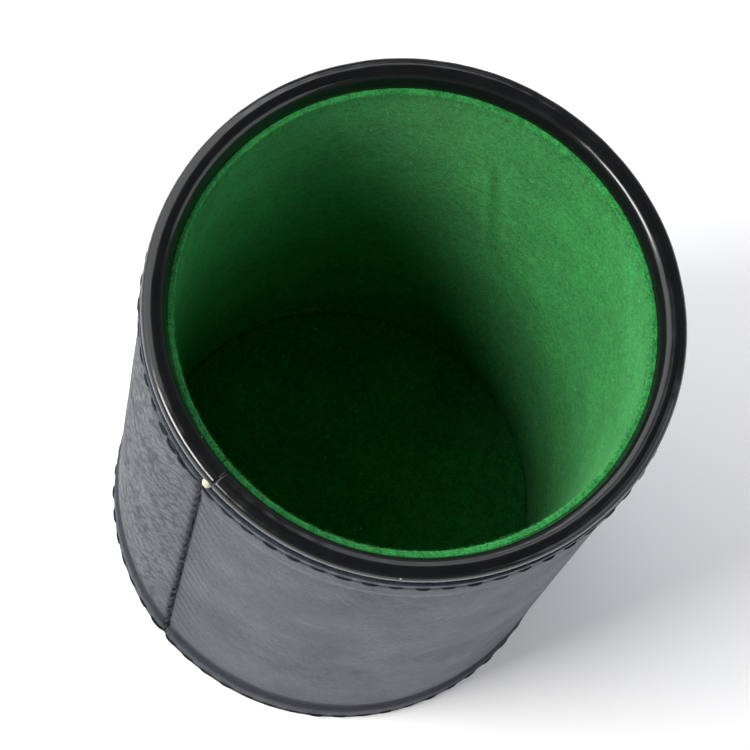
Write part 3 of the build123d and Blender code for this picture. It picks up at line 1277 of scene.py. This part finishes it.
@dataclass
class Stitching:
    """Every visible length of thread, laid where the frame has its stitches."""

    length: float = 2.9 * MM
    width: float = 0.5 * MM
    height: float = 0.42 * MM
    dive: float = 0.34 * MM
    ply_twists: float = 2.2
    ply_depth: float = 0.13
    end_fullness: float = 0.8
    side_fullness: float = 0.55
    sides: int = 9
    rings: int = 11
    finish: WaxedThread = WaxedThread()
    chance: random.Random = field(default_factory=lambda: random.Random(20))
    length_spread: float = 0.1
    turn_spread: float = 5.0
    lift_spread: float = 0.06

    def thread(self, length: float) -> bpy.types.Mesh:
        """Make one stitch along X: two twisted plies whose ends dive into the leather.

        Args:
            length: Length that shows.

        Returns:
            The mesh, with the stitch's middle at the origin.
        """
        bm = bmesh.new()
        bmesh.ops.create_uvsphere(bm, u_segments=self.sides, v_segments=self.rings, radius=0.5)
        turn = Matrix.Rotation(math.radians(90.0), 3, "Y")
        bmesh.ops.rotate(bm, cent=(0.0, 0.0, 0.0), matrix=turn, verts=bm.verts)
        for vert in bm.verts:
            x, y, z = vert.co
            stretched = math.copysign(abs(2.0 * x) ** self.end_fullness / 2.0, x)
            girth = math.hypot(y, z)
            if girth > 1e-9:
                fuller = (2.0 * girth) ** self.side_fullness / 2.0
                around = math.atan2(z, y)
                ply = math.cos(2.0 * (around - self.ply_twists * math.pi * stretched))
                scale = fuller / girth * (1.0 - self.ply_depth * (1.0 - ply) / 2.0)
                y, z = y * scale, z * scale
            sink = self.dive * (2.0 * abs(stretched)) ** 3
            vert.co = (stretched * length, y * self.width, z * self.height - sink)
        bmesh.ops.recalc_face_normals(bm, faces=bm.faces)
        mesh = bpy.data.meshes.new("thread")
        bm.to_mesh(mesh)
        bm.free()
        return mesh

    def place(self, middle: Vector, along: Vector, lift: float, taper: Taper) -> Matrix:
        """Work out where a stitch lies on the wall.

        Args:
            middle: Middle of the frame's stitch.
            along: Its direction.
            lift: Distance moved out of the wall.
            taper: The tube.

        Returns:
            The stitch's place, its Z axis out of the wall.
        """
        out = outwards(middle)
        out = (out - UP * taper.slope).normalized()
        along = (along - out * along.dot(out)).normalized()
        across = out.cross(along)
        turned = Matrix((along, across, out)).transposed().to_4x4()
        return Matrix.Translation(middle + out * lift) @ turned

    def sew(
        self,
        name: str,
        node: str,
        taper: Taper,
        lift: float,
        length: float,
        material: bpy.types.Material,
    ) -> None:
        """Lay a thread on every stitch of a node.

        Args:
            name: Name of the piece.
            node: Frame node whose stitches it stands for.
            taper: The tube.
            lift: Distance moved out of the wall.
            length: Length of thread that shows.
            material: The thread's finish.
        """
        bm = bmesh.new()
        for middle, along in stitch_frames(node):
            spread = self.length_spread
            mesh = self.thread(length * self.chance.uniform(1.0 - spread, 1.0 + spread))
            turn = self.chance.uniform(-self.turn_spread, self.turn_spread)
            tilt = Matrix.Rotation(math.radians(turn), 4, "Z")
            nudge = self.chance.uniform(-self.lift_spread, self.lift_spread) * MM
            mesh.transform(self.place(middle, along, lift + nudge, taper) @ tilt)
            bm.from_mesh(mesh)
            bpy.data.meshes.remove(mesh)
        make_piece(name, bm, material, [node])

    def build(self, taper: Taper) -> None:
        """Sew the hem, the foot, the side seam and the back tack.

        Args:
            taper: The tube.
        """
        material = self.finish.material()
        for name, node, lift, share in (
            ("hem_threads", "top_stitches", 0.02 * MM, 1.0),
            ("foot_threads", "foot_stitches", 0.02 * MM, 1.0),
            ("seam_threads", "side_stitches", 0.12 * MM, 1.2),
            ("back_tack_threads", "back_tack", -0.05 * MM, 1.0),
        ):
            self.sew(name, node, taper, lift, self.length * share, material)


# ---------------- felt lining


@dataclass
class FeltLining:
    """Felt sleeve and floor disc, with loose fibres along the cut upper edge."""

    steps: int = 430
    rows: int = 185
    joint_gap: float = 0.2 * MM
    edge_bevel: float = 0.4 * MM
    edge_round: float = 0.3 * MM
    nap: float = 0.10 * MM
    unevenness: float = 0.12 * MM
    edge_wander: float = 0.12 * MM
    crease_azimuth: float = 117.0
    crease_swing: float = 10.0
    crease_depth: float = 15.0 * MM
    crease_length: float = 34.0 * MM
    fibre_count: int = 5200
    fibre_length: float = 0.55 * MM
    fibre_width: float = 0.055 * MM
    floor_rings: int = 70
    floor_steps: int = 300
    fibre_reach: float = 12.0 * MM
    mean_drop: float = 0.9 * MM
    finish: PileFelt = PileFelt()
    chance: random.Random = field(default_factory=lambda: random.Random(7))

    def inner_slope(self) -> tuple[Ring, Ring, Ring, float]:
        """Measure the sleeve.

        Returns:
            Its foot, the end of its plain inner face, its top, and that face's slope.
        """
        foot, top = end_rings("lining_felt")
        mouth = ring_at("lining_felt", top.height - self.edge_bevel, 0.05 * MM)
        return foot, mouth, top, (mouth.inner - foot.inner) / (mouth.height - foot.height)

    def sleeve(self, material: bpy.types.Material) -> bpy.types.Object:
        """Spin the sleeve, raise its nap and let one glued crease show.

        Args:
            material: The felt.

        Returns:
            The sleeve.
        """
        foot, mouth, top, slope = self.inner_slope()
        inner_top = mouth.inner + slope * (top.height - mouth.height)
        edge = self.edge_round
        outline = [
            *straight(at(foot.inner, foot.height), at(inner_top, top.height - edge), self.rows),
            *arc(at(inner_top + edge, top.height - edge), edge, 180.0, 90.0, 5),
            at(top.outer - edge, top.height),
            at(top.outer, top.height),
            at(foot.outer, foot.height),
        ]
        bm = lathe(outline, self.steps, self.joint_gap / inner_top)
        back_slope = (top.outer - foot.outer) / (top.height - foot.height)

        def raise_nap(point: Vector, angle: float) -> Vector:
            """Tuft the inner face and the upper edge."""
            back = foot.outer + back_slope * (point.z - foot.height)
            if point.xy.length > back - 0.15 * MM:
                return point
            tuft = noise.noise(point / (0.9 * MM)) + 0.5 * noise.noise(point / (0.42 * MM))
            slow = noise.noise(point / (13.0 * MM))
            inwards = self.nap * tuft + self.unevenness * slow + self.crease(point)
            rise = smoothstep(top.height - 0.8 * MM, top.height, point.z)
            ragged = self.edge_wander * rise * (noise.noise(point / (0.7 * MM)) - 0.4)
            return point - outwards(point) * inwards + UP * ragged

        reshape(bm, raise_nap)
        piece = make_piece("felt_sleeve", bm, material, ["lining_felt"])
        return piece

    def crease(self, point: Vector) -> float:
        """Shape the one soft crease in the sleeve and the hollow beside it.

        Args:
            point: Point of the inner face.

        Returns:
            Metres inwards.
        """
        depth = box_of("lining_felt")[1].z - point.z
        share = clamp((depth - self.crease_depth) / self.crease_length)
        azimuth = math.degrees(math.atan2(point.y, point.x))
        middle = self.crease_azimuth - self.crease_swing * share
        away = math.radians(azimuth - middle) * point.xy.length
        length = smoothstep(0.0, 0.15, share) * (1.0 - smoothstep(0.75, 1.0, share))
        return length * (0.36 * bell(away, 0.9 * MM) - 0.26 * bell(away + 1.9 * MM, 1.1 * MM)) * MM

    def floor(self, material: bpy.types.Material) -> bpy.types.Object:
        """Make the floor disc: a dense napped top on a plain slab.

        Args:
            material: The felt.

        Returns:
            The disc.
        """
        foot, top = end_rings("floor_felt")
        rings = self.floor_rings
        outline = [
            at(0.0, foot.height),
            at(foot.outer, foot.height),
            *[at(top.outer * (1.0 - index / rings), top.height) for index in range(rings + 1)],
        ]
        bm = lathe(outline, self.floor_steps)
        close_poles(bm)

        def raise_nap(point: Vector, _angle: float) -> Vector:
            """Tuft the top of the disc."""
            if point.z < top.height - 0.1 * MM or point.xy.length > top.outer - 0.1 * MM:
                return point
            tuft = noise.noise(point / (0.9 * MM)) + noise.noise(point / (14.0 * MM))
            return point + UP * self.nap * tuft

        reshape(bm, raise_nap)
        piece = make_piece("felt_floor", bm, material, ["floor_felt"])
        return piece

    def fibres(self, material: bpy.types.Material) -> bpy.types.Object:
        """Scatter loose fibres along the cut edge and over the upper wall.

        Args:
            material: The felt.

        Returns:
            The fibres, as one piece.
        """
        _, mouth, top, slope = self.inner_slope()
        shaft = bmesh.new()
        bmesh.ops.create_cone(
            shaft,
            segments=3,
            radius1=self.fibre_width / 2.0,
            radius2=self.fibre_width / 6.0,
            depth=1.0,
            cap_ends=True,
        )
        fibre = bpy.data.meshes.new("fibre")
        shaft.to_mesh(fibre)
        shaft.free()
        bm = bmesh.new()
        for _ in range(self.fibre_count):
            mesh = fibre.copy()
            azimuth = self.chance.uniform(0.0, math.tau)
            drop = self.chance.expovariate(1.0 / self.mean_drop)
            height = top.height - min(drop, self.fibre_reach)
            radius = mouth.inner + slope * (height - mouth.height)
            if drop < 0.3 * MM:
                radius += self.chance.uniform(0.0, 0.7) * MM
                height = top.height
            lean = Vector([self.chance.gauss(0.0, 1.0) for _ in range(3)])
            inward = -polar(1.0, azimuth, 0.0)
            aim = (inward * 1.1 + UP * 0.5 + lean * 0.8).normalized()
            length = self.fibre_length * self.chance.uniform(0.5, 1.2)
            turn = aim.to_track_quat("Z", "Y").to_matrix().to_4x4()
            size = Matrix.Diagonal((1.0, 1.0, length, 1.0))
            base = polar(radius, azimuth, height) + aim * length * 0.3
            mesh.transform(Matrix.Translation(base) @ turn @ size)
            bm.from_mesh(mesh)
            bpy.data.meshes.remove(mesh)
        bpy.data.meshes.remove(fibre)
        return make_piece("felt_edge_fibres", bm, material)

    def build(self) -> None:
        """Make the sleeve, the floor and the loose fibres."""
        material = self.finish.material()
        self.sleeve(material)
        self.floor(material)
        self.fibres(material)


# ---------------- glue bead


@dataclass
class GlueBead:
    """Drop of set glue in the corner between the trim, the piping and the seam."""

    detail: int = 4
    stand: float = 0.12 * MM
    climb: float = 0.45 * MM
    swell: float = 1.08
    fill: float = 0.92
    finish: SetGlue = SetGlue()

    def build(self) -> bpy.types.Object:
        """Shape a lumpy drop where the frame has its own."""
        low, high = box_of("glue_bead")
        middle = (low + high) / 2.0
        middle += outwards(middle) * self.stand + UP * self.climb
        half = (high - low) / 2.0 * self.swell
        bm = bmesh.new()
        bmesh.ops.create_icosphere(bm, subdivisions=self.detail, radius=1.0)
        for vert in bm.verts:
            lump = 1.0 + 0.16 * noise.noise(vert.co * 1.7) + 0.05 * noise.noise(vert.co * 5.0)
            vert.co = middle + Vector(
                [share * lump * size * self.fill for share, size in zip(vert.co, half)]
            )
        bmesh.ops.recalc_face_normals(bm, faces=bm.faces)
        return make_piece("glue_drop", bm, self.finish.material(), ["glue_bead"])


# ---------------- studio


@dataclass(frozen=True)
class Softbox:
    """A rectangular light that faces the cup."""

    name: str
    azimuth: float
    elevation: float
    distance: float
    width: float
    height: float
    power: float
    tint_hex: str = "#ffffff"

    def hang(self, target: Vector) -> None:
        """Put the light in place.

        Args:
            target: Point that the light faces.
        """
        light = bpy.data.lights.new(self.name, "AREA")
        light.shape = "RECTANGLE"
        light.size = self.width
        light.size_y = self.height
        light.energy = self.power
        light.color = linear(self.tint_hex)[:3]
        lamp = bpy.data.objects.new(self.name, light)
        away = facing(self.azimuth, self.elevation)
        lamp.location = target + away * self.distance
        lamp.rotation_euler = (-away).to_track_quat("-Z", "Y").to_euler()
        bpy.context.scene.collection.objects.link(lamp)


@dataclass
class Studio:
    """White paper, soft lights and the camera."""

    paper_size: float = 6.0
    sky_low_hex: str = "#c9cbcf"
    sky_high_hex: str = "#24262a"
    sky_strength: float = 0.45
    camera_azimuth: float = 28.495 - 90.0
    camera_elevation: float = 70.588
    camera_roll: float = 23.180
    camera_distance: float = 0.64674
    aim_x: float = 3.62 * MM
    aim_y: float = -10.94 * MM
    lens: float = 216.0
    sensor: float = 36.0
    clip: tuple[float, float] = (0.01, 20.0)
    light_target: float = 60.0 * MM
    boxes: tuple[Softbox, ...] = (
        Softbox("key_softbox", 246.0, 44.0, 1.0, 0.42, 0.36, 10.2, "#fffdfa"),
        Softbox("left_softbox", 200.0, 38.0, 1.5, 2.2, 1.6, 27.0, "#fdfeff"),
        Softbox("top_left_card", 137.0, 46.0, 1.4, 0.7, 0.4, 2.0, "#f6f9ff"),
        Softbox("right_fill_softbox", 30.0, 34.0, 1.4, 1.2, 1.0, 6.5, "#f8faff"),
    )
    paper: StudioPaper = StudioPaper()

    def lay_paper(self) -> None:
        """Lay the pale floor, which isn't part of the cup."""
        bm = bmesh.new()
        bmesh.ops.create_grid(bm, x_segments=8, y_segments=8, size=self.paper_size / 2.0)
        mesh = bpy.data.meshes.new("studio_floor")
        bm.to_mesh(mesh)
        bm.free()
        mesh.materials.append(self.paper.material())
        floor = bpy.data.objects.new("studio_floor", mesh)
        bpy.context.scene.collection.objects.link(floor)

    def paint_sky(self) -> None:
        """Light the room: pale walls near the horizon and a dim ceiling."""
        world = bpy.data.worlds.new("studio_room")
        bpy.context.scene.world = world
        world.use_nodes = True
        tree = world.node_tree
        backdrop = next(node for node in tree.nodes if node.type == "BACKGROUND")
        place = add_node(tree, "TexCoord")
        split = add_node(tree, "SeparateXYZ", None, {0: place.outputs["Generated"]})
        rise = add_node(tree, "MapRange", {"interpolation_type": "SMOOTHSTEP"}, {
            "Value": split.outputs[2], "From Min": 0.25, "From Max": 0.9,
        })
        tone = add_node(tree, "Mix", {"data_type": "RGBA"}, {
            0: rise.outputs[0], 6: linear(self.sky_low_hex), 7: linear(self.sky_high_hex),
        })
        tree.links.new(tone.outputs[2], backdrop.inputs["Color"])
        backdrop.inputs["Strength"].default_value = self.sky_strength

    def set_camera(self) -> None:
        """Stand the camera over the mouth, turned on its own axis."""
        rim = box_of("rim_trim")[1].z
        aim = Vector((self.aim_x, self.aim_y, rim))
        back = facing(self.camera_azimuth, self.camera_elevation)
        camera = bpy.data.cameras.new("studio_camera")
        camera.lens = self.lens
        camera.sensor_width = self.sensor
        camera.clip_start, camera.clip_end = self.clip
        stand = bpy.data.objects.new("studio_camera", camera)
        bpy.context.scene.collection.objects.link(stand)
        level = (-back).to_track_quat("-Z", "Y").to_matrix()
        roll = Matrix.Rotation(math.radians(self.camera_roll), 3, "Z")
        place = Matrix.Translation(aim + back * self.camera_distance)
        stand.matrix_world = place @ (level @ roll).to_4x4()
        bpy.context.scene.camera = stand

    def build(self) -> None:
        """Set up the whole studio."""
        self.lay_paper()
        self.paint_sky()
        self.set_camera()
        target = UP * self.light_target
        for box in self.boxes:
            box.hang(target)
        bpy.context.scene.view_settings.view_transform = "Standard"


# ---------------- the cup


def main() -> None:
    """Build the studio and every piece of the cup."""
    logging.basicConfig(level=logging.INFO, format="%(name)s: %(message)s")
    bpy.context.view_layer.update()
    Studio().build()
    taper = Taper(*end_rings("tube"))
    RigidCore().dress()
    Underside().build(taper)
    LeatherWall().build(taper)
    EdgePiping().build(taper)
    RimTrim().build()
    FeltLining().build()
    Stitching().build(taper)
    GlueBead().build()


if __name__ == "__main__":
    main()
